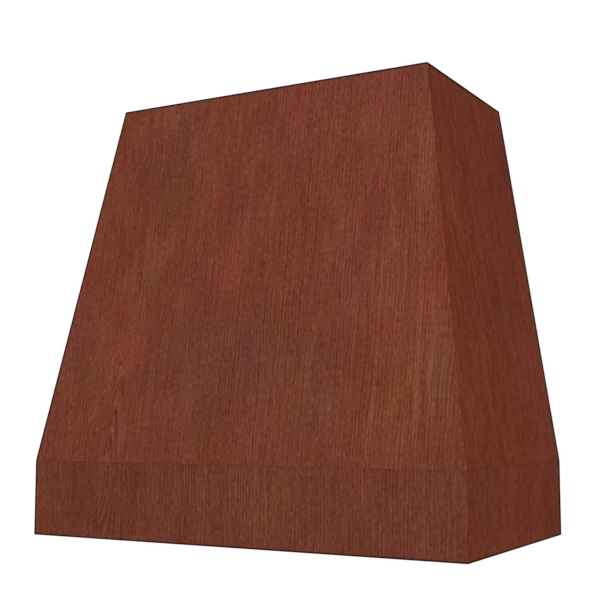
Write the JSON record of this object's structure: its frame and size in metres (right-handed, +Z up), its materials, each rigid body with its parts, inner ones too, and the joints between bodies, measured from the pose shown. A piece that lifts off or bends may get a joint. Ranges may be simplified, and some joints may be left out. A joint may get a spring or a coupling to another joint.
{
  "type": "wooden range hood cover",
  "caption": "Tapered wall-hung wooden range hood cover with an upright band round its foot, open below, behind and above for an insert and its duct.",
  "frame": {"origin": "middle of the footprint, level with the bottom rim; the wall plane is at y = +0.254", "axes": "+X to the right of someone facing the front, +Y towards the wall, +Z up"},
  "size_m": [0.914, 0.508, 0.873],
  "materials": {
    "stained_veneer": "red-brown stained straight-grained veneer under satin lacquer",
    "stained_frame": "plywood stained red-brown, satin",
    "birch_plywood": "unfinished sanded birch plywood",
    "poplar_strips": "unfinished planed poplar",
    "zinced_screws": "bright zinc plate"
  },
  "bodies": {
    "wall_hanger": {"wall_cleat": "birch_plywood"},
    "cover": {"back_ledger": "poplar_strips", "back_left_ledger_screw": "zinced_screws", "back_right_ledger_screw": "zinced_screws", "front_band": "stained_veneer", "front_knee_strip": "poplar_strips", "front_ledger": "poplar_strips", "front_left_ledger_screw": "zinced_screws", "front_panel": "stained_veneer", "front_right_ledger_screw": "zinced_screws", "hanging_rail": "birch_plywood", "hanging_rail_left_screw_1": "zinced_screws", "hanging_rail_left_screw_2": "zinced_screws", "hanging_rail_right_screw_1": "zinced_screws", "hanging_rail_right_screw_2": "zinced_screws", "left_back_stile": "birch_plywood", "left_band_spline": "poplar_strips", "left_corner_block": "poplar_strips", "left_corner_spline": "poplar_strips", "left_knee_strip": "poplar_strips", "left_ledger": "poplar_strips", "left_ledger_screw": "zinced_screws", "left_side_band": "stained_veneer", "left_side_panel": "stained_veneer", "liner_back_rail": "stained_frame", "liner_front_rail": "stained_frame", "liner_left_rail": "stained_frame", "liner_left_screw_back_1": "zinced_screws", "liner_left_screw_back_2": "zinced_screws", "liner_left_screw_front_1": "zinced_screws", "liner_left_screw_front_2": "zinced_screws", "liner_right_rail": "stained_frame", "liner_right_screw_back_1": "zinced_screws", "liner_right_screw_back_2": "zinced_screws", "liner_right_screw_front_1": "zinced_screws", "liner_right_screw_front_2": "zinced_screws", "lower_back_rail": "birch_plywood", "lower_rail_left_screw_1": "zinced_screws", "lower_rail_left_screw_2": "zinced_screws", "lower_rail_right_screw_1": "zinced_screws", "lower_rail_right_screw_2": "zinced_screws", "right_back_stile": "birch_plywood", "right_band_spline": "poplar_strips", "right_corner_block": "poplar_strips", "right_corner_spline": "poplar_strips", "right_knee_strip": "poplar_strips", "right_ledger": "poplar_strips", "right_ledger_screw": "zinced_screws", "right_side_band": "stained_veneer", "right_side_panel": "stained_veneer", "top_back_rail": "birch_plywood", "top_front_rail": "birch_plywood", "top_left_rail": "birch_plywood", "top_left_screw_back_1": "zinced_screws", "top_left_screw_front_1": "zinced_screws", "top_right_rail": "birch_plywood", "top_right_screw_back_1": "zinced_screws", "top_right_screw_front_1": "zinced_screws"}
  },
  "joints": [
    {"name": "lift_off", "type": "slide", "parent": "wall_hanger", "child": "cover", "axis": [0, 0, 1], "range_m": [0, 0.025]}
  ]
}
